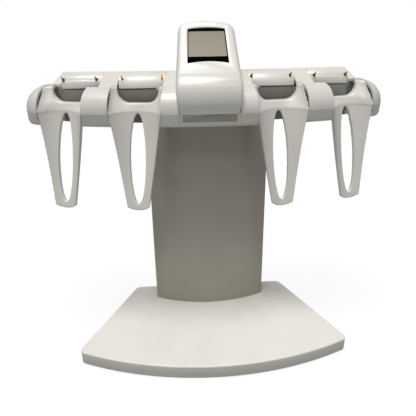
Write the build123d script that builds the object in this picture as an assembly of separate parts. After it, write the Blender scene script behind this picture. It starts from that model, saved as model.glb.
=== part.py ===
from build123d import *
import math
import os

# Four-place charging stand for hand-held pipettes. Millimetres, +Z up, +Y to the rear.
# The origin is under the middle of the base, on the surface that the rubber feet stand on.

# ---- base ----
FOOT_HEIGHT = 1.5
FOOT_RADIUS = 8.0
FOOT_EDGE_MARGIN = 16.0
BASE_FRONT_WIDTH = 278.0
BASE_REAR_WIDTH = 177.0
BASE_DEPTH = 145.0
BASE_FRONT_RADIUS = 322.0
BASE_CORNER_RADIUS = 7.0
BASE_HEIGHT = 13.8
BASE_WALL = 2.5
BASE_EDGE_ROUND = 1.4
BOTTOM_COVER_THICKNESS = 2.0
BALLAST_THICKNESS = 5.0
PANEL_GAP = 0.3

# ---- column ----
COLUMN_WIDTH = 125.6
COLUMN_FRONT_RADIUS = 139.3
COLUMN_FRONT_Y = 33.4
COLUMN_REAR_Y = 68.7
COLUMN_WALL = 2.5
FRAME_WIDTH = 76.0
FRAME_DEPTH = 14.0
FRAME_SHEET = 2.0
FRAME_FOOT_LENGTH = 12.0

# ---- beam ----
BEAM_HALF_WIDTH = 180.0
BEAM_FRONT_RADIUS = 560.0
BEAM_FRONT_Y = 7.0
BEAM_REAR_RADIUS = 1800.0
BEAM_REAR_Y = 62.0
EAR_RADIUS = 27.0
SKIRT_BOTTOM_Z = 231.5
CREASE_Z = 242.0
SKIRT_UNDERCUT = 4.0
BULLNOSE_RADIUS = 22.0
DECK_RISE = 11.5
DECK_HALF_WIDTH = 150.0
BEAM_WALL = 2.6
BEAM_BOTTOM_THICKNESS = 2.2
BRACKET_WIDTH = 200.0
BRACKET_HEIGHT = 20.0
BRACKET_Z = 246.0

# ---- the four stations, numbered from the left ----
STATION_X = (71.0, 143.5)
STATION_FAN = (9.5, 17.0)
HANGER_TOP_WIDTHS = (50.0, 45.5)
HANGER_BOTTOM_WIDTH = 22.0
HANGER_BOTTOM_Z = 148.5
HANGER_BOTTOM_BOW = 3.5
HANGER_BACK = 24.5
HANGER_WALL = 4.0
HANGER_CORNER_RADIUS = 4.0
TROUGH_RADII = (27.4, 24.6)
CREASE_STEP = 0.35
TROUGH_LEAN = 14.0
SCOOP_BACK_GAIN = 7.8
SADDLE_WIDTH = 40.0
SCOOP_SHOULDER_X = (16.0, 20.5)
SCOOP_SHOULDER_SHARE = (0.68, 0.92)
SADDLE_Z = 249.5
SADDLE_CORNER_RADIUS = 11.0
SLOT_WIDTH = 15.2
SLOT_TOP_Z = 240.0
SLOT_BOTTOM_Z = 155.0
WINDOW_FRONT_X = ((43.6, 88.0), (105.4, 144.4))
WINDOW_REAR_X = ((39.6, 86.0), (101.5, 142.6))
WINDOW_FRONT_Y = (33.0, 40.0)
LINER_WALL = 1.2
LINER_TOP_Z = 259.8
LINER_BOTTOM_Z = 229.3

# ---- contact bars and sprung contact pins ----
BAR_FRONT_Y = (46.0, 53.0)
BAR_UNDERSIDE_Z = 261.0
BAR_NOSE_SHARE = (0.30, 0.64)
BAR_TOP_DROP = 1.2
BAR_GAP = 0.3
PIN_X = ((44.2, 83.2), (108.9, 141.0))
PIN_ARC_SHARE = 0.5
PIN_TILT = 45.0
PIN_RADIUS = 0.65
PIN_TIP_RADIUS = 0.35
PIN_STANDOUT = 3.4
PIN_HEAD_RADIUS = 1.0
PIN_HEAD_LENGTH = 1.2
PIN_CLEARANCE = 0.06
BARREL_RADIUS = 1.5
BARREL_LENGTH = 5.0
BARREL_STANDOUT = 0.7

# ---- display head ----
HEAD_TOP_Z = 320.5
HEAD_REAR_Y = 68.0
HEAD_LOWER_HALF_WIDTH = 28.3
HEAD_MIDDLE_HALF_WIDTH = 30.8
HEAD_TOP_HALF_WIDTH = 26.6
HEAD_FLARE_Z = 254.0
HEAD_LEAN = 43.0
HEAD_BREAK_Z = 251.0
HEAD_NOSE_BULGE = 4.6
HEAD_FACE_Y = 18.0
HEAD_FACE_Z = 277.4
HEAD_CROWN = 3.5
HEAD_CORNER_RADIUS = 8.5
HEAD_BROW_RADIUS = 4.0
HEAD_FLANK_ROUND = 3.5
HEAD_WALL = 2.4
MASK_HALF_WIDTHS = (19.5, 17.9)
MASK_SPAN = (11.0, 50.6)
MASK_ARC_RISE = (2.2, 1.7)
MASK_RECESS = 0.9
MASK_THICKNESS = 1.5
LCD_HALF_WIDTHS = (18.3, 17.1)
LCD_SPAN = (19.3, 48.6)

# ---- power inlet ----
INLET_Z = 30.0
INLET_RADIUS = 5.5
INLET_BORE_RADIUS = 3.2
INLET_PIN_RADIUS = 1.0

os.makedirs("parts", exist_ok=True)


def save(node, shape):
    """Write one node; a list is a group of separate solids."""
    if isinstance(shape, (list, tuple)):
        shape = Compound(children=list(shape))
    export_step(shape, f"parts/{node}.step")


def arc_y(front_y, radius, x):
    """Y of a front arc that bulges towards -Y, at a given x."""
    return front_y + radius - math.sqrt(radius**2 - x**2)


# =====================================================================
# Base: a plastic cover over a steel ballast plate, closed from below.
# =====================================================================
BASE_FRONT_Y = -BASE_DEPTH / 2
BASE_REAR_Y = BASE_DEPTH / 2
BASE_UNDERSIDE_Z = FOOT_HEIGHT
BASE_TOP_Z = FOOT_HEIGHT + BASE_HEIGHT


def base_plan(inset):
    """Fan-shaped plan: an arc in front, straight sides that close in to the rear edge."""
    half_front, half_rear = BASE_FRONT_WIDTH / 2, BASE_REAR_WIDTH / 2
    corner_y = arc_y(BASE_FRONT_Y, BASE_FRONT_RADIUS, half_front)
    with BuildSketch() as sketch:
        with BuildLine():
            ThreePointArc((-half_front, corner_y), (0, BASE_FRONT_Y), (half_front, corner_y))
            Polyline(
                (half_front, corner_y), (half_rear, BASE_REAR_Y),
                (-half_rear, BASE_REAR_Y), (-half_front, corner_y),
            )
        make_face()
        fillet(sketch.vertices(), BASE_CORNER_RADIUS)
        if inset:
            offset(amount=-inset)
    return sketch.sketch


def foot_places():
    """Feet near the four corners, and the screw beside each."""
    front_x = BASE_FRONT_WIDTH / 2 - 1.5 * FOOT_EDGE_MARGIN
    front_y = arc_y(BASE_FRONT_Y, BASE_FRONT_RADIUS, front_x) + FOOT_EDGE_MARGIN
    rear_x = BASE_REAR_WIDTH / 2 - FOOT_EDGE_MARGIN
    rear_y = BASE_REAR_Y - FOOT_EDGE_MARGIN
    return [(-front_x, front_y), (front_x, front_y), (-rear_x, rear_y), (rear_x, rear_y)]


FRAME_REAR_Y = BEAM_REAR_Y - BEAM_WALL - 1.0
FRAME_FRONT_Y = FRAME_REAR_Y - FRAME_DEPTH
BALLAST_Z = BASE_UNDERSIDE_Z + BOTTOM_COVER_THICKNESS
BALLAST_TOP_Z = BALLAST_Z + BALLAST_THICKNESS
BASE_SCREW_RADIUS = 1.5
BASE_SCREW_OFFSET = 22.0
BOSS_RADIUS = 3.5

screw_places = [
    (x * (1 - BASE_SCREW_OFFSET / abs(x)), y + math.copysign(4.0, -y)) for x, y in foot_places()
]

base_cover = extrude(Pos(0, 0, BASE_UNDERSIDE_Z) * base_plan(0), BASE_HEIGHT)
base_cover = fillet(base_cover.faces().sort_by(Axis.Z)[-1].edges(), BASE_EDGE_ROUND)
base_cover -= extrude(Pos(0, 0, BASE_UNDERSIDE_Z) * base_plan(BASE_WALL), BASE_HEIGHT - BASE_WALL)
for x, y in screw_places:
    boss_height = BASE_TOP_Z - BASE_WALL - BALLAST_Z
    base_cover += Pos(x, y, BALLAST_Z + boss_height / 2) * Cylinder(BOSS_RADIUS, boss_height)
    base_cover -= Pos(x, y, BALLAST_Z + 4) * Cylinder(BASE_SCREW_RADIUS, 8)
frame_hole = Pos(0, (FRAME_FRONT_Y + FRAME_REAR_Y) / 2, BASE_TOP_Z) * Box(
    FRAME_WIDTH + 2 * PANEL_GAP, FRAME_DEPTH + 2 * PANEL_GAP, 4 * BASE_WALL
)
base_cover -= frame_hole
save("base_cover", base_cover)

base_bottom = extrude(
    Pos(0, 0, BASE_UNDERSIDE_Z) * base_plan(BASE_WALL + PANEL_GAP), BOTTOM_COVER_THICKNESS
)
ballast = extrude(Pos(0, 0, BALLAST_Z) * base_plan(BASE_WALL + 1.5), BALLAST_THICKNESS)
SCREW_HEAD_RADIUS, SCREW_HEAD_HEIGHT = 2.8, 1.2
base_screws = []
for x, y in screw_places:
    base_bottom -= Pos(x, y, BASE_UNDERSIDE_Z) * Cylinder(BASE_SCREW_RADIUS, 10)
    base_bottom -= Pos(x, y, BASE_UNDERSIDE_Z) * Cylinder(
        SCREW_HEAD_RADIUS + 0.1, 2 * SCREW_HEAD_HEIGHT
    )
    ballast -= Pos(x, y, BALLAST_Z) * Cylinder(BOSS_RADIUS + 0.5, 20)
    head = Pos(x, y, BASE_UNDERSIDE_Z + SCREW_HEAD_HEIGHT / 2) * Cylinder(
        SCREW_HEAD_RADIUS, SCREW_HEAD_HEIGHT
    )
    shank = Pos(x, y, BASE_UNDERSIDE_Z + SCREW_HEAD_HEIGHT + 3) * Cylinder(
        BASE_SCREW_RADIUS, 6
    )
    base_screws.append(head + shank)
save("base_bottom_cover", base_bottom)
save("base_screws", base_screws)
save("base_feet", [Pos(x, y, FOOT_HEIGHT / 2) * Cylinder(FOOT_RADIUS, FOOT_HEIGHT)
                   for x, y in foot_places()])

# =====================================================================
# Column: a folded steel channel inside a two-part plastic blade.
# =====================================================================
COLUMN_TOP_Z = SKIRT_BOTTOM_Z - BEAM_BOTTOM_THICKNESS
COLUMN_HALF = COLUMN_WIDTH / 2
COLUMN_SIDE_Y = arc_y(COLUMN_FRONT_Y, COLUMN_FRONT_RADIUS, COLUMN_HALF)
SEAM_Y = COLUMN_REAR_Y - 6.0
FRAME_TOP_Z = 258.0


def column_plan(inset):
    half = COLUMN_HALF - inset
    side_y = arc_y(COLUMN_FRONT_Y + inset, COLUMN_FRONT_RADIUS - inset, half)
    with BuildSketch() as sketch:
        with BuildLine():
            ThreePointArc((-half, side_y), (0, COLUMN_FRONT_Y + inset), (half, side_y))
            Polyline(
                (half, side_y), (half, COLUMN_REAR_Y - inset),
                (-half, COLUMN_REAR_Y - inset), (-half, side_y),
            )
        make_face()
    return sketch.sketch


column_height = COLUMN_TOP_Z - BASE_TOP_Z
column_outer = extrude(Pos(0, 0, BASE_TOP_Z) * column_plan(0), column_height)
upright = [edge for edge in column_outer.edges().filter_by(Axis.Z)]
column_outer = fillet(upright, 1.5)
column_shell = column_outer - extrude(
    Pos(0, 0, BASE_TOP_Z) * column_plan(COLUMN_WALL), column_height
)
rear_half = Pos(0, SEAM_Y + 50, 150) * Box(400, 100, 400)
column_front = column_shell - rear_half
column_rear = column_shell & rear_half
COLUMN_SCREW_Z = (45.0, 205.0)
COLUMN_SCREW_X = 48.0
COLUMN_SCREW_RADIUS = 1.5
column_screws = []
for x in (-COLUMN_SCREW_X, COLUMN_SCREW_X):
    for z in COLUMN_SCREW_Z:
        boss_length = SEAM_Y - arc_y(COLUMN_FRONT_Y, COLUMN_FRONT_RADIUS, x) - COLUMN_WALL / 2
        along_y = Pos(x, SEAM_Y, z) * Rot(-90, 0, 0)
        front_boss = along_y * Pos(0, 0, -boss_length / 2) * Cylinder(BOSS_RADIUS, boss_length)
        column_front += front_boss
        rear_boss_length = COLUMN_REAR_Y - SEAM_Y
        column_rear += along_y * Pos(0, 0, rear_boss_length / 2) * Cylinder(
            BOSS_RADIUS + 1.0, rear_boss_length
        )
        column_rear -= along_y * Cylinder(COLUMN_SCREW_RADIUS, 40)
        column_front -= along_y * Cylinder(COLUMN_SCREW_RADIUS, 16)
        head_seat = COLUMN_REAR_Y - SEAM_Y - 3.0
        column_rear -= along_y * Pos(0, 0, head_seat + 5) * Cylinder(
            SCREW_HEAD_RADIUS + 0.1, 10
        )
        column_screws.append(
            along_y * Pos(0, 0, head_seat + 1) * Cylinder(SCREW_HEAD_RADIUS, 2)
            + along_y * Pos(0, 0, head_seat / 2 - 4) * Cylinder(
                COLUMN_SCREW_RADIUS, head_seat + 8
            )
        )
save("column_front_cover", column_front)
save("column_screws", column_screws)

# Folded channel: web at the rear, two flanges forward, feet turned out onto the ballast.
channel_mid_y = (FRAME_FRONT_Y + FRAME_REAR_Y) / 2
channel_height = FRAME_TOP_Z - BALLAST_TOP_Z
channel = Pos(0, channel_mid_y, BALLAST_TOP_Z + channel_height / 2) * Box(
    FRAME_WIDTH, FRAME_DEPTH, channel_height
)
channel -= Pos(0, channel_mid_y - FRAME_SHEET, BALLAST_TOP_Z + channel_height / 2) * Box(
    FRAME_WIDTH - 2 * FRAME_SHEET, FRAME_DEPTH, channel_height + 2
)
frame_foot = Pos(
    0, FRAME_REAR_Y - FRAME_SHEET - FRAME_FOOT_LENGTH / 2, BALLAST_TOP_Z + FRAME_SHEET / 2
) * Box(FRAME_WIDTH - 2 * FRAME_SHEET, FRAME_FOOT_LENGTH, FRAME_SHEET)
column_frame = channel + frame_foot
FRAME_BOLT_RADIUS = 2.0
FRAME_BOLT_X = (-30.0, -10.0, 10.0, 30.0)
frame_bolts = []
for x in FRAME_BOLT_X:
    at = Pos(x, FRAME_REAR_Y - FRAME_SHEET - FRAME_FOOT_LENGTH / 2, BALLAST_TOP_Z)
    column_frame -= at * Cylinder(FRAME_BOLT_RADIUS, 10)
    ballast -= at * Cylinder(FRAME_BOLT_RADIUS, 2 * BALLAST_THICKNESS)
    frame_bolts.append(
        at * Pos(0, 0, FRAME_SHEET + 1) * Cylinder(3.5, 2)
        + at * Pos(0, 0, (FRAME_SHEET - BALLAST_THICKNESS) / 2) * Cylinder(
            FRAME_BOLT_RADIUS, FRAME_SHEET + BALLAST_THICKNESS
        )
    )
save("base_ballast", ballast)
save("frame_bolts", frame_bolts)

# =====================================================================
# Beam: an arched housing with a bull-nosed front over an undercut skirt.
# =====================================================================
BULLNOSE_TOP_Z = CREASE_Z + BULLNOSE_RADIUS
DECK_REAR_Z = BULLNOSE_TOP_Z + DECK_RISE
ARC_CENTRE_Y = BEAM_FRONT_Y + BEAM_FRONT_RADIUS


def rear_y(x):
    return arc_y(BEAM_REAR_Y, BEAM_REAR_RADIUS, x)


def beam_plan(inset, rear_inset):
    """Plan of the beam: front arc, round ears, short sides and a nearly straight rear."""
    radius, ear = BEAM_FRONT_RADIUS - inset, EAR_RADIUS - inset
    ear_x = BEAM_HALF_WIDTH - EAR_RADIUS
    angle = math.asin(ear_x / (BEAM_FRONT_RADIUS - EAR_RADIUS))
    ear_y = ARC_CENTRE_Y - (BEAM_FRONT_RADIUS - EAR_RADIUS) * math.cos(angle)
    join = (radius * math.sin(angle), ARC_CENTRE_Y - radius * math.cos(angle))
    half_turn = (math.pi / 2 - angle) / 2 + angle
    bend = (ear_x + ear * math.sin(half_turn), ear_y - ear * math.cos(half_turn))
    side_x = ear_x + ear
    front = ARC_CENTRE_Y - radius
    back = rear_y(side_x) - rear_inset
    with BuildSketch() as sketch:
        with BuildLine():
            ThreePointArc((-join[0], join[1]), (0, front), join)
            ThreePointArc(join, bend, (side_x, ear_y))
            Line((side_x, ear_y), (side_x, back))
            ThreePointArc((side_x, back), (0, BEAM_REAR_Y - rear_inset), (-side_x, back))
            Line((-side_x, back), (-side_x, ear_y))
            ThreePointArc((-side_x, ear_y), (-bend[0], bend[1]), (-join[0], join[1]))
        make_face()
    return sketch.sketch


def deck_wedge(drop, rear_inset):
    """The deck that rises from the back of the bull-nose to the rear edge."""
    sections = []
    steps = 8
    for index in range(steps + 1):
        x = -DECK_HALF_WIDTH + 2 * DECK_HALF_WIDTH * index / steps
        front = arc_y(BEAM_FRONT_Y + BULLNOSE_RADIUS, BEAM_FRONT_RADIUS - BULLNOSE_RADIUS, x)
        back = rear_y(x) - rear_inset
        low = BULLNOSE_TOP_Z - drop - 0.4
        with BuildSketch(Plane.YZ.offset(x)) as section:
            Polygon(
                (front, low - 6), (back, low - 6), (back, DECK_REAR_Z - drop), (front, low),
                align=None,
            )
        sections.append(section.sketch.faces()[0])
    return loft(sections, ruled=True)


def beam_form(inset, rear_inset, bottom_z):
    """The beam's outer shape at inset 0, or its cavity at inset = wall."""
    lower_plan = Pos(0, 0, bottom_z) * beam_plan(inset + SKIRT_UNDERCUT, rear_inset)
    crease_plan = Pos(0, 0, CREASE_Z) * beam_plan(inset, rear_inset)
    skirt = loft([lower_plan.faces()[0], crease_plan.faces()[0]], ruled=True)
    nose_radius = BULLNOSE_RADIUS - inset
    nose = extrude(crease_plan, nose_radius)
    top_edges = nose.faces().sort_by(Axis.Z)[-1].edges()
    front_edges = [
        edge for edge in top_edges if (edge @ 0.5).Y < rear_y((edge @ 0.5).X) - rear_inset - 0.5
    ]
    nose = fillet(front_edges, nose_radius - 0.02)
    return skirt + nose + deck_wedge(inset, rear_inset)


def window_corners(index, side, margin, front_y, back_y):
    """Plan corners of a deck window; its sides turn in towards the middle at the rear."""
    x0, x1 = WINDOW_FRONT_X[index]
    x2, x3 = WINDOW_REAR_X[index]
    run = BEAM_REAR_Y - WINDOW_FRONT_Y[index]
    lean_in, lean_out = (x2 - x0) / run, (x3 - x1) / run
    corners = []
    for x, lean, y in (
        (x0 + margin, lean_in, front_y), (x1 - margin, lean_out, front_y),
        (x1 - margin, lean_out, back_y), (x0 + margin, lean_in, back_y),
    ):
        corners.append((side * (x + lean * (y - WINDOW_FRONT_Y[index])), y))
    return corners


def prism(face, z0, z1):
    return extrude(Pos(0, 0, z0) * face, z1 - z0)


def window_back_y(index):
    return rear_y(WINDOW_FRONT_X[index][0]) - BEAM_WALL


def station_place(index, side):
    """Origin of a station on the front arc, turned to the way the pipette faces."""
    x = STATION_X[index]
    return Pos(side * x, arc_y(BEAM_FRONT_Y, BEAM_FRONT_RADIUS, x), 0) * Rot(
        0, 0, side * STATION_FAN[index]
    )


STATIONS = [(1, -1), (0, -1), (0, 1), (1, 1)]
HALF_BOTTOM = HANGER_BOTTOM_WIDTH / 2


def half_top(index):
    return HANGER_TOP_WIDTHS[index] / 2


def hanger_outline(index, margin):
    """Front view of a hanger: straight sides above the crease, a taper below it."""
    half, low = half_top(index) + margin, HALF_BOTTOM + margin
    lowest, top = HANGER_BOTTOM_Z - margin, DECK_REAR_Z + 10
    bottom = lowest + HANGER_BOTTOM_BOW
    with BuildSketch(Plane.XZ) as outline:
        with BuildLine():
            ThreePointArc((-low, bottom), (0, lowest), (low, bottom))
            Polyline(
                (low, bottom), (half, CREASE_Z), (half, top),
                (-half, top), (-half, CREASE_Z), (-low, bottom),
            )
        make_face()
        fillet(
            [v for v in outline.vertices() if abs(v.Z - bottom) < 0.1], HANGER_CORNER_RADIUS
        )
    return outline.sketch


def hanger_envelope(index, side, margin):
    """Everything that a hanger may fill, used to clear the beam cover behind it."""
    solid = extrude(hanger_outline(index, margin), 60, both=True)
    solid &= Pos(0, HANGER_BACK + margin - 60, 230) * Box(120, 120, 240)
    return station_place(index, side) * solid


# ---------------------------------------------------------------------
# Beam cover, bottom cover and the steel bracket inside.
# ---------------------------------------------------------------------
beam_outer = beam_form(0, 0, SKIRT_BOTTOM_Z)
beam_inner = beam_form(BEAM_WALL, BEAM_WALL, SKIRT_BOTTOM_Z)
under_cut = extrude(
    Pos(0, 0, SKIRT_BOTTOM_Z - 1) * beam_plan(BEAM_WALL + SKIRT_UNDERCUT, BEAM_WALL), 2
)
beam_cover = beam_outer - beam_inner - under_cut

bottom_inset = SKIRT_UNDERCUT + 1.0
bottom_z = SKIRT_BOTTOM_Z - BEAM_BOTTOM_THICKNESS
beam_bottom = extrude(Pos(0, 0, bottom_z) * beam_plan(bottom_inset, 1.0), BEAM_BOTTOM_THICKNESS)

liners, bars, barrels, pins = [], [], [], []
for index, side in STATIONS:
    back_y = window_back_y(index)
    opening = make_face(Polyline(
        *window_corners(index, side, 0, WINDOW_FRONT_Y[index], back_y), close=True))
    lower = make_face(Polyline(
        *window_corners(index, side, 0, WINDOW_FRONT_Y[index], BAR_FRONT_Y[index] + 2.0),
        close=True))
    beam_cover -= prism(opening, BAR_UNDERSIDE_Z - 0.8, DECK_REAR_Z + 5)
    beam_cover -= prism(lower, SKIRT_BOTTOM_Z - 3, BAR_UNDERSIDE_Z)
    beam_bottom -= prism(lower, SKIRT_BOTTOM_Z - 5, BAR_UNDERSIDE_Z)
    envelope = hanger_envelope(index, side, 0.15)
    beam_cover -= envelope
    beam_bottom -= envelope

    behind_hanger = station_place(index, side) * Pos(0, HANGER_BACK + 0.3 + 40, 240) * Box(
        120, 80, 60
    )
    outer = make_face(Polyline(*window_corners(
        index, side, 0.2, WINDOW_FRONT_Y[index] + 0.2, BAR_FRONT_Y[index] + LINER_WALL),
        close=True))
    inner = make_face(Polyline(*window_corners(
        index, side, 0.2 + LINER_WALL, WINDOW_FRONT_Y[index] + 0.2 + LINER_WALL,
        BAR_FRONT_Y[index]), close=True))
    liner = prism(outer, LINER_BOTTOM_Z, LINER_TOP_Z) & behind_hanger
    liner -= prism(inner, LINER_BOTTOM_Z - 1, LINER_TOP_Z + 1) & (
        Pos(0, 0, 0) * station_place(index, side)
        * Pos(0, HANGER_BACK + 0.3 + LINER_WALL + 40, 240) * Box(120, 80, 62)
    )
    liners.append(liner)

    front = BAR_FRONT_Y[index]
    with BuildSketch(Plane.YZ) as roll:
        with BuildLine():
            start = (front, BAR_UNDERSIDE_Z)
            crest = (back_y, DECK_REAR_Z - BAR_TOP_DROP)
            depth, height = crest[0] - start[0], crest[1] - start[1]
            nose = ThreePointArc(
                start, (front + BAR_NOSE_SHARE[0] * depth,
                        BAR_UNDERSIDE_Z + BAR_NOSE_SHARE[1] * height), crest)
            Polyline(crest, (crest[0], BAR_UNDERSIDE_Z), start)
        make_face()
    pin_seat = nose @ PIN_ARC_SHARE
    bar_plan = make_face(Polyline(
        *window_corners(index, side, BAR_GAP, front - 2, back_y - 0.1), close=True))
    bar = extrude(roll.sketch, 200, both=True) & prism(bar_plan, 250, 290)
    bar_barrels = []
    for x in PIN_X[index]:
        # The pin axis leaves the bar's face forwards and up.
        seat = Pos(side * x, pin_seat.X, pin_seat.Y) * Rot(0, 0, side * STATION_FAN[index])
        seat *= Rot(PIN_TILT, 0, 0)
        barrel = seat * Pos(0, 0, (BARREL_STANDOUT - BARREL_LENGTH) / 2) * Cylinder(
            BARREL_RADIUS, BARREL_LENGTH + BARREL_STANDOUT)
        bar -= seat * Pos(0, 0, (20 - BARREL_LENGTH) / 2) * Cylinder(
            BARREL_RADIUS, BARREL_LENGTH + 20)
        shoulder = -1.0
        barrel -= seat * Cylinder(PIN_RADIUS + PIN_CLEARANCE, 6)
        chamber = BARREL_LENGTH - 0.8 + shoulder
        barrel -= seat * Pos(0, 0, shoulder - chamber / 2) * Cylinder(
            PIN_HEAD_RADIUS + PIN_CLEARANCE, chamber)
        bar_barrels.append(barrel)
        stem = BARREL_STANDOUT + PIN_STANDOUT - shoulder
        pin = Pos(0, 0, shoulder + stem / 2) * Cylinder(PIN_RADIUS, stem)
        pin = fillet(pin.edges().sort_by(Axis.Z)[-1], PIN_RADIUS - PIN_TIP_RADIUS)
        pin += Pos(0, 0, shoulder - PIN_HEAD_LENGTH / 2) * Cylinder(
            PIN_HEAD_RADIUS, PIN_HEAD_LENGTH)
        pins.append((side * x, seat * pin))
    bars.append(bar)
    barrels.append(bar_barrels)

for number, (bar, pair) in enumerate(zip(bars, barrels), 1):
    save(f"contact_bar_{number}", bar)
    save(f"pin_barrels_{number}", pair)
for number, (x, pin) in enumerate(sorted(pins, key=lambda item: item[0]), 1):
    save(f"contact_pin_{number}", pin)

# The channel passes up through the bottom cover; above it only its web goes on.
beam_bottom -= Pos(0, channel_mid_y, bottom_z) * Box(
    FRAME_WIDTH + 2 * PANEL_GAP, FRAME_DEPTH + 2 * PANEL_GAP, 10)
save("beam_bottom_cover", beam_bottom)

# Steel strip that the beam hangs on, screwed through the cover's rear wall.
beam_bracket = Pos(0, FRAME_REAR_Y - 1.5 * FRAME_SHEET, BRACKET_Z) * Box(
    BRACKET_WIDTH, FRAME_SHEET, BRACKET_HEIGHT)
# Only the channel's web goes up into the beam.
above = COLUMN_TOP_Z + BEAM_BOTTOM_THICKNESS + 1.0
column_frame -= Pos(0, FRAME_REAR_Y - FRAME_SHEET - 20, above + 20) * Box(200, 40, 40)
BEAM_SCREW_X = (-85.0, -33.5, 33.5, 85.0)
beam_screws = []
for x in BEAM_SCREW_X:
    hole = Pos(x, FRAME_REAR_Y, BRACKET_Z) * Rot(-90, 0, 0) * Cylinder(BASE_SCREW_RADIUS, 40)
    beam_cover -= hole
    beam_bracket -= hole
    column_frame -= hole
    outside = rear_y(x)
    inside = FRAME_REAR_Y - 2 * FRAME_SHEET - 1.0
    shank = Pos(x, (inside + outside) / 2, BRACKET_Z) * Rot(-90, 0, 0) * Cylinder(
        BASE_SCREW_RADIUS, outside - inside)
    cap = Pos(x, outside + 1.2, BRACKET_Z) * Rot(-90, 0, 0) * Cylinder(SCREW_HEAD_RADIUS, 2.4)
    beam_screws.append(shank + (cap - beam_outer))
save("column_frame", column_frame)
save("beam_bracket", beam_bracket)
save("beam_screws", beam_screws)

# =====================================================================
# Hangers: a scoop in the bull-nose, a saddle rim and a leaning trough.
# =====================================================================
LEAN = math.tan(math.radians(TROUGH_LEAN))
REACH = 1.5


def trough_centre(index, z):
    """Y of the trough's axis; at the crease its edges meet the bull-nose."""
    half_chord = math.sqrt(TROUGH_RADII[index]**2 - half_top(index)**2)
    return (z - CREASE_Z) * LEAN - half_chord


def scoop_section(index, z):
    """One level of the scoop: its ends follow the bull-nose, its middle goes back."""
    half = half_top(index) + 0.3
    rise = min((z - CREASE_Z) / BULLNOSE_RADIUS, 1.0)
    radius = TROUGH_RADII[index] - CREASE_STEP
    foot = trough_centre(index, CREASE_Z) + radius
    with BuildSketch(Plane.XY.offset(z)) as section:
        with BuildLine():
            if rise == 0:
                edge = foot - radius + math.sqrt(radius**2 - half**2)
                ThreePointArc((-half, edge), (0, foot), (half, edge))
            else:
                edge = BULLNOSE_RADIUS * (1 - math.sqrt(1 - rise**2))
                middle = foot + SCOOP_BACK_GAIN * math.sin(rise * math.pi / 2)
                shoulder_x, share = [
                    low + rise * (high - low)
                    for low, high in (SCOOP_SHOULDER_X, SCOOP_SHOULDER_SHARE)]
                shoulder_x *= half_top(index) / half_top(0)
                shoulder_y = edge + share * (middle - edge)
                Spline((-half, edge), (-shoulder_x, shoulder_y), (0, middle),
                       (shoulder_x, shoulder_y), (half, edge))
            Polyline((half, edge), (half + REACH, edge - 3 * REACH), (half + REACH, -30),
                     (-half - REACH, -30), (-half - REACH, edge - 3 * REACH), (-half, edge))
        make_face()
    return section.sketch.faces()[0]


def slanted(index, wall, z_top, z_bottom):
    """A forward-leaning cylinder, its level sections true circles."""
    disc = Pos(0, trough_centre(index, z_top), z_top) * Circle(TROUGH_RADII[index] + wall)
    drop = z_top - z_bottom
    return extrude(disc, drop * math.hypot(1, LEAN), dir=(0, -LEAN, -1))


SCOOP_LEVELS = [CREASE_Z + BULLNOSE_RADIUS * share for share in (0, 0.25, 0.5, 0.75, 0.92, 1)]


def scoop_tool(index):
    sections = [scoop_section(index, z) for z in SCOOP_LEVELS]
    lower = extrude(sections[0], 1.0, dir=(0, 0, -1))
    return lower + loft(sections) + extrude(sections[-1], 12, dir=(0, 0, 1))


saddle_height = 40.0
saddle_reach = HANGER_BACK + 0.3 + LINER_WALL + 0.5


def saddle_tool(index):
    """The notch behind the rim, with round lower corners."""
    width = SADDLE_WIDTH - (HANGER_TOP_WIDTHS[0] - HANGER_TOP_WIDTHS[index])
    notch = Pos(0, saddle_reach - 15, SADDLE_Z + saddle_height / 2) * Box(
        width, 30, saddle_height)
    return fillet(notch.edges().filter_by(Axis.Y).group_by(Axis.Z)[0], SADDLE_CORNER_RADIUS)


slot_height = SLOT_TOP_Z - SLOT_BOTTOM_Z
slot = extrude(
    Plane.XZ * Pos(0, (SLOT_TOP_Z + SLOT_BOTTOM_Z) / 2) * Ellipse(SLOT_WIDTH / 2, slot_height / 2),
    60, both=True)

def back_half(index):
    """All that lies behind the trough's axis."""
    low, high = CREASE_Z - 100, CREASE_Z + 5
    return extrude(
        Plane.YZ * Polygon(
            (trough_centre(index, high), high), (trough_centre(index, low), low),
            (60, low), (60, high), align=None),
        60, both=True)


def apron_shell(index):
    """The hanging part of a hanger: a leaning trough wall trimmed to the outline."""
    shell = slanted(index, HANGER_WALL, CREASE_Z + 2, HANGER_BOTTOM_Z - 4)
    shell -= slanted(index, 0, CREASE_Z + 4, HANGER_BOTTOM_Z - 8)
    shell &= extrude(hanger_outline(index, 0), 60, both=True)
    shell &= back_half(index)
    return shell & Pos(0, 0, (CREASE_Z + 100) / 2) * Box(200, 200, CREASE_Z - 100)


HANGER_SCREW_X = ((-10.0, 4.0), (-15.0, -3.0))
HANGER_SCREW_Z = 246.0
HANGER_SCREW_LENGTH = 4.0
hanger_screws = []
for number, (index, side) in enumerate(STATIONS, 1):
    place = station_place(index, side)
    block = beam_outer & hanger_envelope(index, side, 0)
    block &= Pos(0, 0, CREASE_Z + 50) * Box(500, 500, 100)
    saddle = place * saddle_tool(index)
    hanger = (block - saddle) + place * apron_shell(index)
    hanger -= place * slot
    hanger -= place * slanted(index, 0, CREASE_Z, HANGER_BOTTOM_Z - 8)
    hanger -= place * scoop_tool(index)
    liner = liners[number - 1] - saddle
    for x in HANGER_SCREW_X[index]:
        at = place * Pos(side * x, HANGER_BACK + 0.3 + LINER_WALL, HANGER_SCREW_Z) * Rot(90, 0, 0)
        length = HANGER_SCREW_LENGTH + 0.3 + LINER_WALL
        shank = at * Pos(0, 0, length / 2) * Cylinder(BASE_SCREW_RADIUS, length)
        hanger -= shank
        liner -= shank
        hanger_screws.append(shank + at * Pos(0, 0, -0.7) * Cylinder(2.6, 1.4))
    save(f"hanger_{number}", hanger.solids().sort_by(SortBy.VOLUME)[-1])
    save(f"pocket_liner_{number}", liner)
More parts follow.
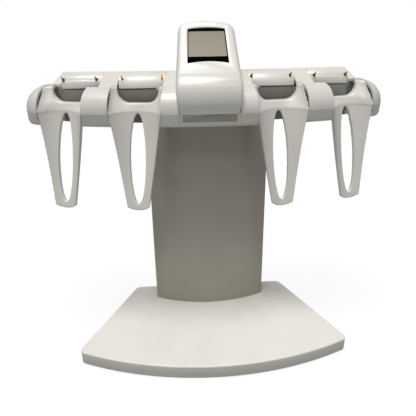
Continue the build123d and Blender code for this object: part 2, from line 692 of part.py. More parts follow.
save("hanger_screws", hanger_screws)

# =====================================================================
# Display head: a front moulding, a rear cover and a framed display.
# =====================================================================
HEAD_SLOPE = math.radians(HEAD_LEAN)
head_top_y = HEAD_FACE_Y + (HEAD_TOP_Z - HEAD_FACE_Z) * math.tan(HEAD_SLOPE)
face_plane = Plane(
    origin=(0, HEAD_FACE_Y, HEAD_FACE_Z), x_dir=(1, 0, 0),
    z_dir=(0, -math.cos(HEAD_SLOPE), math.sin(HEAD_SLOPE)))


def head_profile(inset):
    """Side view: undercut skirt, convex nose, leaning display face, flat back."""
    foot_y = BEAM_FRONT_Y + SKIRT_UNDERCUT
    skirt_slope = SKIRT_UNDERCUT / (CREASE_Z - SKIRT_BOTTOM_Z)
    break_y = foot_y - (HEAD_BREAK_Z - SKIRT_BOTTOM_Z) * skirt_slope
    chord = Vector(0, HEAD_FACE_Y - break_y, HEAD_FACE_Z - HEAD_BREAK_Z)
    bulge = Vector(0, -chord.Z, chord.Y).normalized() * HEAD_NOSE_BULGE
    middle = Vector(0, break_y, HEAD_BREAK_Z) + chord * 0.5 + bulge
    with BuildSketch(Plane.YZ) as side_view:
        with BuildLine():
            Line((foot_y, SKIRT_BOTTOM_Z), (break_y, HEAD_BREAK_Z))
            ThreePointArc(
                (break_y, HEAD_BREAK_Z), (middle.Y, middle.Z), (HEAD_FACE_Y, HEAD_FACE_Z))
            Polyline(
                (HEAD_FACE_Y, HEAD_FACE_Z), (head_top_y, HEAD_TOP_Z), (HEAD_REAR_Y, HEAD_TOP_Z),
                (HEAD_REAR_Y, SKIRT_BOTTOM_Z), (foot_y, SKIRT_BOTTOM_Z))
        make_face()
        fillet([v for v in side_view.vertices() if v.Z > HEAD_TOP_Z - 1], HEAD_BROW_RADIUS)
        if inset:
            offset(amount=-inset)
    return side_view.sketch


def head_front_view(inset):
    """Front view: slightly flared flanks and an arched top with rounded corners."""
    low, mid, top = (
        HEAD_LOWER_HALF_WIDTH - inset, HEAD_MIDDLE_HALF_WIDTH - inset, HEAD_TOP_HALF_WIDTH - inset
    )
    crown_z, shoulder_z = HEAD_TOP_Z - inset, HEAD_TOP_Z - HEAD_CROWN - inset
    bottom = SKIRT_BOTTOM_Z - 1 + inset
    with BuildSketch(Plane.XZ) as front_view:
        with BuildLine():
            Line((low, bottom), (low, CREASE_Z))
            Spline((low, CREASE_Z), (mid - 0.6, HEAD_FLARE_Z), (mid, HEAD_FLARE_Z + 12),
                   tangents=((0, 1), (0, 1)), tangent_scalars=(0.6, 0.6))
            Line((mid, HEAD_FLARE_Z + 12), (top, shoulder_z))
            ThreePointArc((top, shoulder_z), (0, crown_z), (-top, shoulder_z))
            Line((-top, shoulder_z), (-mid, HEAD_FLARE_Z + 12))
            Spline((-mid, HEAD_FLARE_Z + 12), (0.6 - mid, HEAD_FLARE_Z), (-low, CREASE_Z),
                   tangents=((0, -1), (0, -1)), tangent_scalars=(0.6, 0.6))
            Polyline((-low, CREASE_Z), (-low, bottom), (low, bottom))
        make_face()
        fillet([v for v in front_view.vertices() if abs(v.Z - shoulder_z) < 0.1],
               HEAD_CORNER_RADIUS - inset)
    return front_view.sketch


def head_form(inset):
    return extrude(head_profile(inset), 60, both=True) & extrude(
        head_front_view(inset), 120, both=True)


head_outer = head_form(0)
flank_edges = [
    edge for edge in head_outer.edges()
    if edge.center().Z > SKIRT_BOTTOM_Z + 1 and edge.center().Y < head_top_y
    and abs(edge.center().X) > 20 and abs((edge % 0.5).Y) < 0.95
]
head_outer = fillet(flank_edges, HEAD_FLANK_ROUND)
head_shell = head_outer - head_form(HEAD_WALL)
# Behind the beam's rear wall the head goes down to the column; inside, it is open below.
BEAM_JOINT_Z = 262.0
front_space = Pos(0, 0, 0) * Box(200, 2 * (FRAME_FRONT_Y + 5.0), 800)
over_beam = Pos(0, 0, BEAM_JOINT_Z + 0.3 + 100) * Box(200, 400, 200)
HEAD_SEAM_Y = HEAD_REAR_Y - 5.0
rear_part = Pos(0, HEAD_SEAM_Y + 50, 240) * Box(200, 100, 400)
head_front = (head_shell & front_space) + (head_shell & over_beam)
head_front -= rear_part
head_rear = head_shell & rear_part

# The beam cover is cut to the head's outline, with a fine line all round.
HEAD_LINE = 0.15
head_gap = extrude(head_front_view(-HEAD_LINE), 120, both=True)
front_limit = 2 * (FRAME_FRONT_Y + 5.0 + HEAD_LINE)
beam_cover -= head_gap & Box(200, front_limit, 800)
beam_cover -= head_gap & Pos(0, 0, BEAM_JOINT_Z + 0.1 + 100) * Box(200, 400, 200)
save("beam_cover", beam_cover)


def face_window(half_widths, span, rises, margin):
    """A window on the display face: narrower at the top, both long edges arched."""
    low, high = half_widths[0] - margin, half_widths[1] - margin
    bottom, top = span[0] + margin, span[1] - margin
    with BuildSketch(face_plane) as window:
        with BuildLine():
            if rises[0]:
                ThreePointArc((-low, bottom), (0, bottom + rises[0]), (low, bottom))
                ThreePointArc((high, top), (0, top + rises[1]), (-high, top))
            else:
                Line((-low, bottom), (low, bottom))
                Line((high, top), (-high, top))
            Line((low, bottom), (high, top))
            Line((-high, top), (-low, bottom))
        make_face()
    return window.sketch


def face_plate(sketch, depth, thickness):
    """A plate parallel to the display face, its front a given depth below it."""
    inward = (0, math.cos(HEAD_SLOPE), -math.sin(HEAD_SLOPE))
    moved = Pos(*(component * depth for component in inward)) * sketch
    return extrude(moved, thickness, dir=inward)


mask_opening = face_window(MASK_HALF_WIDTHS, MASK_SPAN, MASK_ARC_RISE, 0)
head_front -= face_plate(mask_opening, -1, HEAD_WALL + 2)
mask = face_plate(
    face_window(MASK_HALF_WIDTHS, MASK_SPAN, MASK_ARC_RISE, 0.1), MASK_RECESS, MASK_THICKNESS)
mask -= face_plate(face_window(LCD_HALF_WIDTHS, LCD_SPAN, (0, 0), 0), 0, 5)
lcd = face_plate(
    face_window(LCD_HALF_WIDTHS, LCD_SPAN, (0, 0), 0.1), MASK_RECESS + 0.3, MASK_THICKNESS + 0.5)
board_depth = MASK_RECESS + 0.3 + MASK_THICKNESS + 0.5
board_face = face_window((17.9, 17.9), (MASK_SPAN[0], MASK_SPAN[1] - 3), (0, 0), 0)
board = face_plate(board_face, board_depth, 1.6)
save("display_mask", mask)
save("lcd_panel", lcd)
save("display_board", board)

head_screws = []
for x, z in ((-25.5, 268.0), (25.5, 268.0), (-22.3, 303.0), (22.3, 303.0)):
    along_y = Pos(x, HEAD_SEAM_Y, z) * Rot(-90, 0, 0)
    boss = along_y * Pos(0, 0, -7) * Cylinder(BOSS_RADIUS, 14)
    head_front += boss & head_outer
    hole = along_y * Cylinder(BASE_SCREW_RADIUS, 20)
    head_front -= hole
    rear_boss = along_y * Pos(0, 0, (HEAD_REAR_Y - HEAD_SEAM_Y) / 2) * Cylinder(
        BOSS_RADIUS + 1.0, HEAD_REAR_Y - HEAD_SEAM_Y)
    head_rear += rear_boss & head_outer
    head_rear -= hole
    head_rear -= along_y * Pos(0, 0, 2.5 + 5) * Cylinder(SCREW_HEAD_RADIUS + 0.1, 10)
    head_screws.append(
        along_y * Pos(0, 0, 3.3) * Cylinder(SCREW_HEAD_RADIUS, 1.6)
        + along_y * Pos(0, 0, -3.75) * Cylinder(BASE_SCREW_RADIUS, 12.5))
save("head_front", head_front)
save("head_rear_cover", head_rear)
save("head_screws", head_screws)

# =====================================================================
# Power inlet, low on the rear of the column.
# =====================================================================
inlet_place = Pos(0, COLUMN_REAR_Y, INLET_Z) * Rot(-90, 0, 0)
column_rear -= inlet_place * Cylinder(INLET_RADIUS + 0.3, 20)
inlet_length = COLUMN_REAR_Y - FRAME_REAR_Y - 0.3
inlet = inlet_place * Pos(0, 0, -inlet_length / 2) * Cylinder(INLET_RADIUS, inlet_length)
bore_depth = inlet_length - 2.0
inlet -= inlet_place * Pos(0, 0, -bore_depth / 2) * (
    Cylinder(INLET_BORE_RADIUS, bore_depth) - Cylinder(INLET_PIN_RADIUS, bore_depth))
save("power_inlet", inlet)
save("column_rear_cover", column_rear)
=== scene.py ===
import bpy
import math
from mathutils import Matrix, Vector


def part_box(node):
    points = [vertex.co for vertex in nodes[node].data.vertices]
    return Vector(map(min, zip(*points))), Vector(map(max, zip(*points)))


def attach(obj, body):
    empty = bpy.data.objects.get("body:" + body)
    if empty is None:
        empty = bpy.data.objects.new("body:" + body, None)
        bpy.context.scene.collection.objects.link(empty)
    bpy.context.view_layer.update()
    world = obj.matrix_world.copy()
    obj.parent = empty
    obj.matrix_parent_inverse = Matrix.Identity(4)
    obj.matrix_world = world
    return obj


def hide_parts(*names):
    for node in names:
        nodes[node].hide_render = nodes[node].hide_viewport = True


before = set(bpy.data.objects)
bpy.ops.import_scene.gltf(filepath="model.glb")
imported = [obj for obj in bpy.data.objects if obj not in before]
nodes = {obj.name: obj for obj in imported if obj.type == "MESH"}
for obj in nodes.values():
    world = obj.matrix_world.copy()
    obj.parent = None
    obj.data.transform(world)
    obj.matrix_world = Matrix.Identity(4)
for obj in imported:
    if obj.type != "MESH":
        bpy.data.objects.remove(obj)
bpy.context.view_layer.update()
bpy.ops.object.select_all(action="DESELECT")

# ---------------------------------------------------------------------
# Base cover: a fan-shaped shell injection-moulded in warm white ABS.
# It drops over the ballast plate and is screwed from below.
# ---------------------------------------------------------------------


def linear(hex_colour):
    """An sRGB hex colour as the linear RGBA that a shader socket takes."""
    parts = [int(hex_colour[i:i + 2], 16) / 255 for i in (1, 3, 5)]
    return tuple(p / 12.92 if p <= 0.04045 else ((p + 0.055) / 1.055) ** 2.4 for p in parts) + (1.0,)


def add_node(tree, kind, settings=None, values=None, links=None):
    """Adds one node: settings are its properties, values its sockets, links what feeds them."""
    node = tree.nodes.new(kind)
    for name, value in (settings or {}).items():
        setattr(node, name, value)
    for name, value in (values or {}).items():
        node.inputs[name].default_value = value
    for name, source in (links or {}).items():
        tree.links.new(source, node.inputs[name])
    return node


def new_material(name):
    """An empty node material; returns it with its tree and its output."""
    material = bpy.data.materials.new(name)
    material.use_nodes = True
    material.node_tree.nodes.clear()
    output = add_node(material.node_tree, "ShaderNodeOutputMaterial")
    return material, material.node_tree, output


CLOUDS_PER_METRE = 22.0
CLOUD_SPREAD = (0.35, 0.65)
GLOSS_SPREAD = 0.04


def moulded_skin(name, low_hex, high_hex, roughness, grain_mm, grain_depth_mm, coat=0.0,
                 specular=0.5):
    """Moulded or sprayed skin: faint clouds about 45 mm wide in its colour, fine grain in relief.

    The real grain is too fine to show, so it is drawn 0.6 to 0.9 mm wide.
    """
    material, tree, output = new_material(name)
    place = add_node(tree, "ShaderNodeTexCoord").outputs["Object"]
    cloud = add_node(tree, "ShaderNodeTexNoise", None,
                     {"Scale": CLOUDS_PER_METRE, "Detail": 3.0, "Roughness": 0.5}, {"Vector": place})
    tint = add_node(tree, "ShaderNodeValToRGB", None, None, {"Fac": cloud.outputs["Fac"]})
    tint.color_ramp.elements[0].position = CLOUD_SPREAD[0]
    tint.color_ramp.elements[0].color = linear(low_hex)
    tint.color_ramp.elements[1].position = CLOUD_SPREAD[1]
    tint.color_ramp.elements[1].color = linear(high_hex)
    grain = add_node(tree, "ShaderNodeTexNoise", None,
                     {"Scale": 1000.0 / grain_mm, "Detail": 2.0, "Roughness": 0.6},
                     {"Vector": place})
    bump = add_node(tree, "ShaderNodeBump", None,
                    {"Strength": 0.3, "Distance": grain_depth_mm / 1000},
                    {"Height": grain.outputs["Fac"]})
    gloss = add_node(tree, "ShaderNodeMapRange", None,
                     {"To Min": roughness - GLOSS_SPREAD, "To Max": roughness + GLOSS_SPREAD},
                     {"Value": cloud.outputs["Fac"]})
    skin = add_node(tree, "ShaderNodeBsdfPrincipled", None,
                    {"IOR": 1.49, "Specular IOR Level": specular, "Coat Weight": coat,
                     "Coat Roughness": 0.22},
                    {"Base Color": tint.outputs["Color"], "Normal": bump.outputs["Normal"],
                     "Roughness": gloss.outputs["Result"]})
    tree.links.new(skin.outputs["BSDF"], output.inputs["Surface"])
    return material


def give_skin(material, *names):
    """Gives CAD nodes their surface."""
    for name in names:
        nodes[name].data.materials.clear()
        nodes[name].data.materials.append(material)


MERGE_DISTANCE = 0.000004
FLAT_ANGLE = math.radians(0.6)
EDGE_ANGLE = math.radians(32)


def merged_copy(node):
    """A node's copy with its loose triangles joined and its flat areas made whole."""
    piece = bpy.data.objects.new(node + "_moulding", nodes[node].data.copy())
    bpy.context.scene.collection.objects.link(piece)
    bpy.ops.object.select_all(action="DESELECT")
    bpy.context.view_layer.objects.active = piece
    piece.select_set(True)
    bpy.ops.object.mode_set(mode="EDIT")
    bpy.ops.mesh.customdata_custom_splitnormals_clear()
    bpy.ops.mesh.select_all(action="SELECT")
    bpy.ops.mesh.remove_doubles(threshold=MERGE_DISTANCE)
    bpy.ops.mesh.dissolve_limited(angle_limit=FLAT_ANGLE)
    bpy.ops.object.mode_set(mode="OBJECT")
    return piece


def apply_modifier(piece, kind, **settings):
    """Adds a modifier with its settings and applies it."""
    modifier = piece.modifiers.new(kind.lower(), kind)
    for name, value in settings.items():
        setattr(modifier, name, value)
    bpy.ops.object.modifier_apply(modifier=modifier.name)


def break_edges(piece, edge_mm):
    """Breaks each sharp edge of a moulding by the given width."""
    apply_modifier(piece, "BEVEL", width=edge_mm / 1000, segments=2, limit_method="ANGLE",
                   angle_limit=EDGE_ANGLE)


def put_in_place(piece, node, material, smooth_angle=EDGE_ANGLE):
    """Shades a finished moulding and lets it stand for its node."""
    bpy.ops.object.shade_smooth_by_angle(angle=smooth_angle)
    piece.data.materials.clear()
    piece.data.materials.append(material)
    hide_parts(node)
    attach(piece, "stand")
    piece.select_set(False)


def finished_moulding(node, material, edge_mm):
    """A moulding as it leaves its tool: curves smooth, and each sharp edge broken."""
    piece = merged_copy(node)
    break_edges(piece, edge_mm)
    put_in_place(piece, node, material)


# Moulded ABS with a fine satin texture: broad soft highlights, no sparkle.
base_abs = moulded_skin("base_moulded_abs", "#E2E0D7", "#E7E5DD", 0.42, 0.9, 0.04)
finished_moulding("base_cover", base_abs, 0.3)
give_skin(base_abs, "base_bottom_cover")

# ---------------------------------------------------------------------
# Feet: four discs of moulded black rubber under the base's corners.
# ---------------------------------------------------------------------
# Moulded rubber: dark, dull, with a slightly dusty bloom.
foot_rubber = moulded_skin("feet_moulded_rubber", "#1B1B1B", "#262524", 0.8, 0.6, 0.05)
give_skin(foot_rubber, "base_feet")

# ---------------------------------------------------------------------
# Hidden steel: ballast plate, folded channel, beam strip and the screws
# and bolts, all zinc-plated.
# ---------------------------------------------------------------------
# Zinc plate: bluish metal whose crystals differ a little in gloss.
zinc_plate, tree, output = new_material("zinc_plated_steel")
place = add_node(tree, "ShaderNodeTexCoord").outputs["Object"]
SPANGLE_MM = 4.0
spangle = add_node(tree, "ShaderNodeTexVoronoi", None, {"Scale": 1000.0 / SPANGLE_MM},
                   {"Vector": place})
spangle_gloss = add_node(tree, "ShaderNodeMapRange", None, {"To Min": 0.3, "To Max": 0.5},
                         {"Value": spangle.outputs["Distance"]})
spangle_tint = add_node(tree, "ShaderNodeValToRGB", None, None, {"Fac": spangle.outputs["Distance"]})
spangle_tint.color_ramp.elements[0].color = linear("#B4B6B9")
spangle_tint.color_ramp.elements[1].color = linear("#C2C3C4")
steel = add_node(tree, "ShaderNodeBsdfPrincipled", None, {"Metallic": 1.0},
                 {"Base Color": spangle_tint.outputs["Color"],
                  "Roughness": spangle_gloss.outputs["Result"]})
tree.links.new(steel.outputs["BSDF"], output.inputs["Surface"])
give_skin(zinc_plate, "base_ballast", "column_frame", "beam_bracket", "base_screws",
          "frame_bolts", "column_screws", "beam_screws", "hanger_screws", "head_screws")

# ---------------------------------------------------------------------
# Column: a bowed front blade and a flat rear half, moulded and sprayed
# warm grey, closed round the steel channel by four screws.
# ---------------------------------------------------------------------
# Sprayed two-part paint with a thin clear coat: an even warm grey with a soft, blurred sheen.
column_paint = moulded_skin("column_sprayed_paint", "#AAA499", "#AFA99D", 0.36, 0.8, 0.02, 0.5)
finished_moulding("column_front_cover", column_paint, 0.5)
finished_moulding("column_rear_cover", column_paint, 0.5)

# ---------------------------------------------------------------------
# Beam: an arched housing moulded in semi-gloss ABS, with a bull-nosed
# front over an undercut skirt, and a plate that closes it from below.
# ---------------------------------------------------------------------
# Moulded ABS from a polished tool: soft highlights along the round edges.
beam_abs = moulded_skin("beam_moulded_abs", "#DFDDD4", "#E4E2DA", 0.3, 0.8, 0.02, 0.2)
# The bull-nose meets the skirt in a crease at one level all along the beam.
CREASE_Z = 0.242
SKIRT_BOTTOM_Z = 0.2315
# The deck rises to the rear; its side walls lean from the foot in to the top corner.
DECK_FRONT_Z, DECK_REAR_Z = 0.264, 0.2755
DECK_SIDE_X = 0.1495
DECK_FOOT_X, DECK_CORNER_X = 0.153, 0.1437
LEVEL_TOLERANCE = 0.0002
EAR_START_X, EAR_FULL_X = 0.150, 0.174
EAR_UNDERCUT = 0.004
# Shading stays sharp over the crease, which turns by a little over 20 degrees.
CREASE_ANGLE = math.radians(15)


def shape_beam_ends(piece):
    """Leans the deck's side walls in towards the top and stands the ears' skirt upright."""
    for vertex in piece.data.vertices:
        place = vertex.co
        side = math.copysign(1.0, place.x)
        reach = abs(place.x)
        if place.z > DECK_FRONT_Z + LEVEL_TOLERANCE and reach > DECK_SIDE_X:
            rise = (place.z - DECK_FRONT_Z) / (DECK_REAR_Z - DECK_FRONT_Z)
            place.x = side * (DECK_FOOT_X + rise * (DECK_CORNER_X - DECK_FOOT_X))
        elif place.z < CREASE_Z and reach > EAR_START_X:
            drop = min((CREASE_Z - place.z) / (CREASE_Z - SKIRT_BOTTOM_Z), 1.0)
            share = min((reach - EAR_START_X) / (EAR_FULL_X - EAR_START_X), 1.0)
            place.x += side * EAR_UNDERCUT * drop * share


for node, edge_mm in (("beam_cover", 0.4), ("beam_bottom_cover", 0.3)):
    housing = merged_copy(node)
    shape_beam_ends(housing)
    break_edges(housing, edge_mm)
    put_in_place(housing, node, beam_abs, CREASE_ANGLE)

# ---------------------------------------------------------------------
# Hangers: four mouldings, each a scoop, a saddle rim and a leaning
# trough with an oval finger slot, screwed on through the pocket wall.
# ---------------------------------------------------------------------
SKIN_STEP = 0.0006
EVENING_PASSES = 5
ROUNDING_PASSES = 20
KEPT_TRIANGLES = 0.5
# The trough is thin, so it gets this share of the rounding that the scoop gets.
TROUGH_SHARE = 0.3
TROUGH_TOP_Z = CREASE_Z - 0.001
# How far each station is turned from straight ahead, in degrees.
STATION_FANS = {1: -17.0, 2: -9.5, 3: 9.5, 4: 17.0}
OUTER_STATIONS = (1, 4)
NOTCH_HALF_WIDTH, HANGER_HALF_WIDTH = 0.01775, 0.02275
NOTCH_SHIFT = 0.0032
NOTCH_FOOT_Z, NOTCH_FULL_Z = 0.2405, 0.2500
FLANK_HELD, FLANK_FREE = 0.0221, 0.0200


def places_across(piece, fan):
    """Each vertex's distance from the hanger's middle plane, across the hanger."""
    across = [vertex.co.x * math.cos(fan) + vertex.co.y * math.sin(fan)
              for vertex in piece.data.vertices]
    middle = (max(across) + min(across)) / 2
    return [distance - middle for distance in across]


def shift_notch(piece, fan):
    """Moves an outer hanger's saddle notch towards the head, keeping the hanger's flanks."""
    side = math.copysign(1.0, fan)
    for vertex, across in zip(piece.data.vertices, places_across(piece, fan)):
        rise = (vertex.co.z - NOTCH_FOOT_Z) / (NOTCH_FULL_Z - NOTCH_FOOT_Z)
        rise = min(max(rise, 0.0), 1.0)
        rise = rise * rise * (3 - 2 * rise)
        share = (HANGER_HALF_WIDTH - abs(across)) / (HANGER_HALF_WIDTH - NOTCH_HALF_WIDTH)
        shift = -side * NOTCH_SHIFT * rise * min(max(share, 0.0), 1.0)
        vertex.co.x += shift * math.cos(fan)
        vertex.co.y += shift * math.sin(fan)


def loosen(piece, fan):
    """Weights a hanger for rounding: none at the flanks by the beam, most in the scoop."""
    loose = piece.vertex_groups.new(name="loose")
    for vertex, across in zip(piece.data.vertices, places_across(piece, fan)):
        share = (FLANK_HELD - abs(across)) / (FLANK_HELD - FLANK_FREE)
        if vertex.co.z < TROUGH_TOP_Z:
            share = TROUGH_SHARE
        loose.add([vertex.index], min(max(share, 0.0), 1.0), "REPLACE")
    return loose.name


for number, fan_degrees in STATION_FANS.items():
    hanger = merged_copy(f"hanger_{number}")
    apply_modifier(hanger, "REMESH", mode="VOXEL", voxel_size=SKIN_STEP)
    fan = math.radians(fan_degrees)
    if number in OUTER_STATIONS:
        shift_notch(hanger, fan)
    group = loosen(hanger, fan)
    apply_modifier(hanger, "SMOOTH", factor=0.5, iterations=EVENING_PASSES)
    apply_modifier(hanger, "SMOOTH", factor=0.5, iterations=ROUNDING_PASSES, vertex_group=group)
    apply_modifier(hanger, "DECIMATE", ratio=KEPT_TRIANGLES)
    put_in_place(hanger, f"hanger_{number}", beam_abs)

# ---------------------------------------------------------------------
# Pocket liners: open tubes of grey ABS behind the saddles, where the
# finger hook of a pipette goes down.
# ---------------------------------------------------------------------
# Moulded ABS, mid grey and nearly matt.
liner_abs = moulded_skin("liner_moulded_grey_abs", "#85837D", "#8B8983", 0.5, 0.7, 0.05)
for number in range(1, 5):
    finished_moulding(f"pocket_liner_{number}", liner_abs, 0.2)

# ---------------------------------------------------------------------
# Contact bars: rounded ABS mouldings that fill the windows behind the
# pockets and carry the sprung contacts.
# ---------------------------------------------------------------------
for number in range(1, 5):
    finished_moulding(f"contact_bar_{number}", beam_abs, 0.6)

# ---------------------------------------------------------------------
# Sprung contacts: turned brass barrels pressed into the bars, and the
# plungers that slide in them, all gold-plated.
# ---------------------------------------------------------------------
# Electroplated gold, rubbed duller in places by the pads that touch it.
gold_plate, tree, output = new_material("contact_gold_plate")
place = add_node(tree, "ShaderNodeTexCoord").outputs["Object"]
RUB_MM = 0.7
rub = add_node(tree, "ShaderNodeTexNoise", None, {"Scale": 1000.0 / RUB_MM, "Detail": 3.0},
               {"Vector": place})
rub_gloss = add_node(tree, "ShaderNodeMapRange", None, {"To Min": 0.25, "To Max": 0.42},
                     {"Value": rub.outputs["Fac"]})
rub_tint = add_node(tree, "ShaderNodeValToRGB", None, None, {"Fac": rub.outputs["Fac"]})
rub_tint.color_ramp.elements[0].color = linear("#86560F")
rub_tint.color_ramp.elements[1].color = linear("#A87426")
gold = add_node(tree, "ShaderNodeBsdfPrincipled", None, {"Metallic": 1.0},
                {"Base Color": rub_tint.outputs["Color"], "Roughness": rub_gloss.outputs["Result"]})
tree.links.new(gold.outputs["BSDF"], output.inputs["Surface"])
give_skin(gold_plate, *[f"contact_pin_{number}" for number in range(1, 9)],
          *[f"pin_barrels_{number}" for number in range(1, 5)])

# ---------------------------------------------------------------------
# Display head: a front moulding whose nose overhangs the beam, and a
# rear cover held by four screws, in the beam's ABS.
# ---------------------------------------------------------------------
# Each top corner's arc runs from the flank to the top's arc, seen from the front.
CORNER_RADIUS = 0.0075
CORNER_CENTRE = (0.01924, 0.311)
CORNER_START_X = 0.0208
CUTTER_SIZE = 0.04
HEAD_MIDDLE_Y = 0.06
# Below the crease the skirt's face leans forwards as it rises.
SKIRT_FOOT_Y = 0.011
SKIRT_LEAN = 0.004 / (CREASE_Z - SKIRT_BOTTOM_Z)
FLANK_ROUND = 0.0036
FLANK_START_X = 0.0245
CREASE_TOLERANCE = 0.0003


def cut_away(piece, tool):
    """Takes a tool's form out of a piece and removes the tool."""
    bpy.ops.object.select_all(action="DESELECT")
    bpy.context.view_layer.objects.active = piece
    piece.select_set(True)
    apply_modifier(piece, "BOOLEAN", operation="DIFFERENCE", solver="EXACT", object=tool)
    bpy.data.objects.remove(tool)


def round_top_corners(piece):
    """Rounds the head's two top corners as seen from the front."""
    for side in (-1, 1):
        half = CUTTER_SIZE / 2
        bpy.ops.object.select_all(action="DESELECT")
        bpy.ops.mesh.primitive_cylinder_add(
            vertices=128, radius=CORNER_RADIUS, depth=2 * CUTTER_SIZE, rotation=(math.pi / 2, 0, 0),
            location=(side * CORNER_CENTRE[0], HEAD_MIDDLE_Y, CORNER_CENTRE[1]))
        core = bpy.context.object
        bpy.ops.mesh.primitive_cube_add(
            size=CUTTER_SIZE,
            location=(side * (CORNER_START_X + half), HEAD_MIDDLE_Y, CORNER_CENTRE[1] + half))
        corner = bpy.context.object
        cut_away(corner, core)
        cut_away(piece, corner)


def lay_flush(piece):
    """Ends the flanks' rounding at the crease: below it the head is flush with the skirt."""
    for vertex in piece.data.vertices:
        place = vertex.co
        skirt_y = SKIRT_FOOT_Y - (place.z - SKIRT_BOTTOM_Z) * SKIRT_LEAN
        in_skirt = place.z < CREASE_Z + CREASE_TOLERANCE
        if in_skirt and abs(place.x) > FLANK_START_X and place.y < skirt_y + FLANK_ROUND:
            place.y = skirt_y


head = merged_copy("head_front")
round_top_corners(head)
break_edges(head, 0.6)
lay_flush(head)
put_in_place(head, "head_front", beam_abs)
head_back = merged_copy("head_rear_cover")
round_top_corners(head_back)
break_edges(head_back, 0.4)
put_in_place(head_back, "head_rear_cover", beam_abs, CREASE_ANGLE)

# ---------------------------------------------------------------------
# Display: a black frame set back in the head's window, the unlit
# panel in it, and the circuit board that carries them.
# ---------------------------------------------------------------------
# Black acrylic with a matt anti-glare face: deep black, and no highlight.
mask_acrylic = moulded_skin("mask_black_acrylic", "#060606", "#090909", 0.5, 0.8, 0.004,
                            specular=0.0)
give_skin(mask_acrylic, "display_mask")

# Unlit liquid-crystal glass: a warm grey film, hardly glossy; paler low down and darker towards the
# top, which is painted shade.
lcd_film, tree, output = new_material("lcd_unlit_film")
place = add_node(tree, "ShaderNodeTexCoord").outputs["Object"]
height = add_node(tree, "ShaderNodeSeparateXYZ", None, None, {"Vector": place}).outputs["Z"]
lcd_low, lcd_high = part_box("lcd_panel")
# Painted shade: the film's tone darkens from the panel's foot to its top.
shade_by_height = add_node(tree, "ShaderNodeMapRange", None,
                {"From Min": lcd_low[2], "From Max": lcd_high[2]}, {"Value": height})
film_tint_and_shade = add_node(tree, "ShaderNodeValToRGB", None, None, {"Fac": shade_by_height.outputs["Result"]})
film_tint_and_shade.color_ramp.elements[0].color = linear("#A59D8E")
film_tint_and_shade.color_ramp.elements[1].color = linear("#968E7F")
SPECKLES_PER_METRE = 1800.0
speckle = add_node(tree, "ShaderNodeTexNoise", None, {"Scale": SPECKLES_PER_METRE, "Detail": 2.0},
                   {"Vector": place})
film_gloss = add_node(tree, "ShaderNodeMapRange", None, {"To Min": 0.16, "To Max": 0.26},
                      {"Value": speckle.outputs["Fac"]})
film = add_node(tree, "ShaderNodeBsdfPrincipled", None,
                {"IOR": 1.5, "Specular IOR Level": 0.04},
                {"Base Color": film_tint_and_shade.outputs["Color"],
                 "Roughness": film_gloss.outputs["Result"]})
tree.links.new(film.outputs["BSDF"], output.inputs["Surface"])
give_skin(lcd_film, "lcd_panel")

# Green solder mask over glass-fibre board: smooth, slightly translucent green.
board_mask = moulded_skin("board_solder_mask", "#0E4A26", "#125430", 0.35, 0.6, 0.01)
give_skin(board_mask, "display_board")

# ---------------------------------------------------------------------
# Power inlet: a barrel socket of black nylon low on the column's back.
# ---------------------------------------------------------------------
# Moulded nylon: near black with a dull waxy sheen.
inlet_nylon = moulded_skin("inlet_black_nylon", "#161616", "#1E1E1E", 0.5, 0.6, 0.02)
give_skin(inlet_nylon, "power_inlet")

# ---------------------------------------------------------------------
# Studio: a wide floor that keeps a faint shadow, a white background, a
# broad overhead light with a strip light in front of it, and the camera.
# ---------------------------------------------------------------------
FLOOR_SIZE = 400.0
FLOOR_WHITE_SHARE = 0.86
FLOOR_SHADE_TONE = 0.34
AMBIENT = 0.23


def seen_directly(tree):
    """A value that is 1 for rays from the camera or through glass, and 0 for all others."""
    path = add_node(tree, "ShaderNodeLightPath")
    return add_node(tree, "ShaderNodeMath", {"operation": "MAXIMUM"}, None,
                    {0: path.outputs["Is Camera Ray"],
                     1: path.outputs["Is Transmission Ray"]}).outputs[0]


bpy.ops.object.select_all(action="DESELECT")
bpy.ops.mesh.primitive_plane_add(size=FLOOR_SIZE, location=(0, 0, 0))
floor = bpy.context.object
floor.name = "studio_floor"
# White paint that looks plain white and keeps the shadow, yet lights the stand as a darker floor.
floor_paint, tree, output = new_material("studio_floor_white")
seen = seen_directly(tree)
shade_tone = add_node(tree, "ShaderNodeMapRange", None,
                      {"To Min": FLOOR_SHADE_TONE, "To Max": 1.0}, {"Value": seen})
matt = add_node(tree, "ShaderNodeBsdfDiffuse", None, None, {"Color": shade_tone.outputs["Result"]})
glow = add_node(tree, "ShaderNodeEmission", None, {"Color": (1, 1, 1, 1), "Strength": 1.0})
share = add_node(tree, "ShaderNodeMapRange", None, {"To Min": 0.0, "To Max": FLOOR_WHITE_SHARE},
                 {"Value": seen})
mix = add_node(tree, "ShaderNodeMixShader", None, None, {"Fac": share.outputs[0]})
tree.links.new(matt.outputs["BSDF"], mix.inputs[1])
tree.links.new(glow.outputs["Emission"], mix.inputs[2])
tree.links.new(mix.outputs["Shader"], output.inputs["Surface"])
floor.data.materials.append(floor_paint)

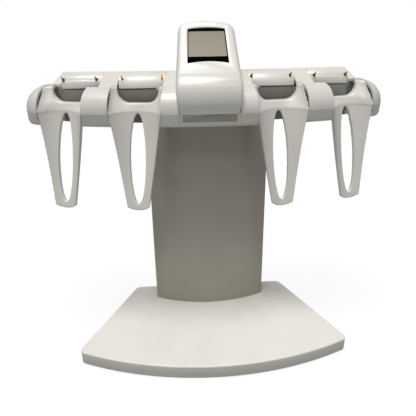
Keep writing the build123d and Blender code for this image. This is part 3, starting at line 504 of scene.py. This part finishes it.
world = bpy.data.worlds.new("studio_world")
bpy.context.scene.world = world
world.use_nodes = True
world.node_tree.nodes.clear()
tree = world.node_tree
brightness = add_node(tree, "ShaderNodeMapRange", None, {"To Min": AMBIENT, "To Max": 1.0},
                      {"Value": seen_directly(tree)})
sky = add_node(tree, "ShaderNodeBackground", None, {"Color": (1.0, 1.0, 1.0, 1.0)},
               {"Strength": brightness.outputs["Result"]})
add_node(tree, "ShaderNodeOutputWorld", None, None, {"Surface": sky.outputs["Background"]})


def aimed(lamp, place, target):
    """Puts a lamp in its place, pointing at a target."""
    lamp.location = place
    lamp.rotation_euler = (Vector(target) - Vector(place)).to_track_quat("-Z", "Y").to_euler()
    bpy.context.scene.collection.objects.link(lamp)


ceiling = bpy.data.lights.new("ceiling_light", "SUN")
ceiling.energy = 2.4
ceiling.angle = math.radians(26)
aimed(bpy.data.objects.new("ceiling_light", ceiling), (-0.16, -0.2, 1.6), (0, 0, 0.1))
strip = bpy.data.lights.new("strip_light", "AREA")
strip.shape = "RECTANGLE"
strip.size, strip.size_y = 0.9, 0.25
strip.energy = 2.4
aimed(bpy.data.objects.new("strip_light", strip), (-0.1, -0.75, 1.5), (0, 0, 0.2))

CAMERA_PLACE = (-0.02769, -0.40837, 0.32914)
CAMERA_PAN = math.radians(3.39)
CAMERA_TILT = math.radians(23.57)
CAMERA_ROLL = math.radians(-0.69)
FOCAL_PIXELS = 450.0
FRAME_PIXELS = 416.0
SENSOR_MM = 36.0
camera_data = bpy.data.cameras.new("camera")
camera_data.sensor_width = SENSOR_MM
camera_data.lens = FOCAL_PIXELS / FRAME_PIXELS * SENSOR_MM
camera_data.clip_start = 0.01
camera_data.clip_end = 1000.0
camera = bpy.data.objects.new("camera", camera_data)
camera.matrix_world = (
    Matrix.Translation(CAMERA_PLACE) @ Matrix.Rotation(-CAMERA_PAN, 4, "Z")
    @ Matrix.Rotation(math.pi / 2 - CAMERA_TILT, 4, "X") @ Matrix.Rotation(CAMERA_ROLL, 4, "Z"))
bpy.context.scene.collection.objects.link(camera)
bpy.context.scene.camera = camera
bpy.context.scene.view_settings.view_transform = "Standard"
